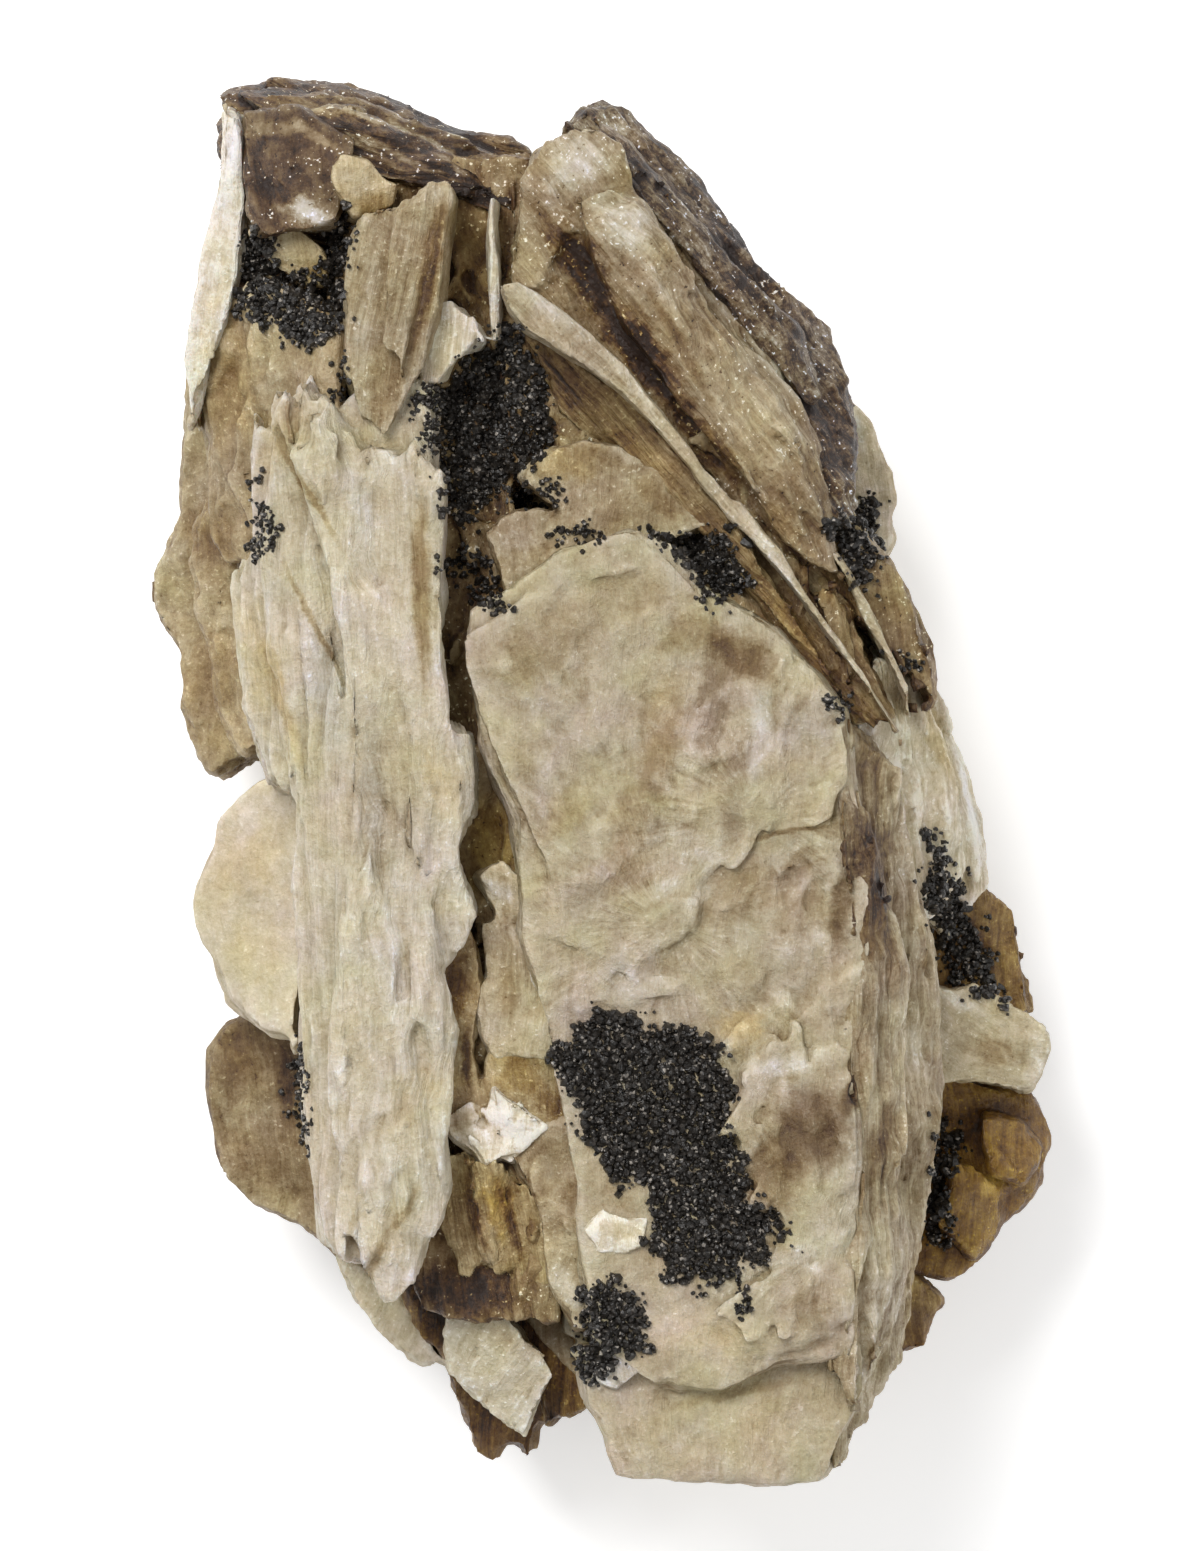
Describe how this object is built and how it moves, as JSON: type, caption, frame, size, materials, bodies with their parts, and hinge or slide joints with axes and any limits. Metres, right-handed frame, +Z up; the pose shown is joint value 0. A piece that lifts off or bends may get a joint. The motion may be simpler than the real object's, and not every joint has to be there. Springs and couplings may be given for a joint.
{
  "type": "mica crystal specimen",
  "caption": "Hand specimen of intergrown cream and brown mica books with ragged sheet edges and crusts of small black crystals, lying on its flat back.",
  "frame": {"origin": "middle of the bounding box in X and Y, at the flat underside that the specimen rests on", "axes": "+Z up through the thickness, towards the wide cleavage face; +Y along the length, towards the end with the dark sheet edges; +X towards the steep side"},
  "size_m": [0.073, 0.1126, 0.0439],
  "materials": {
    "mica": "cream, tan and brown mica with a satin to pearly lustre and streaked, feathered cleavage faces",
    "black_crystals": "black granular crystals with a glassy glint"
  },
  "bodies": {
    "root": {"mica_cluster": "mica", "black_crust_upper_left": "black_crystals", "black_crust_middle": "black_crystals", "black_crust_below_blade": "black_crystals", "black_crust_right_edge": "black_crystals", "black_crust_large": "black_crystals", "black_crust_bottom": "black_crystals", "black_crust_right_band": "black_crystals", "black_crust_lower_right": "black_crystals"}
  },
  "joints": []
}
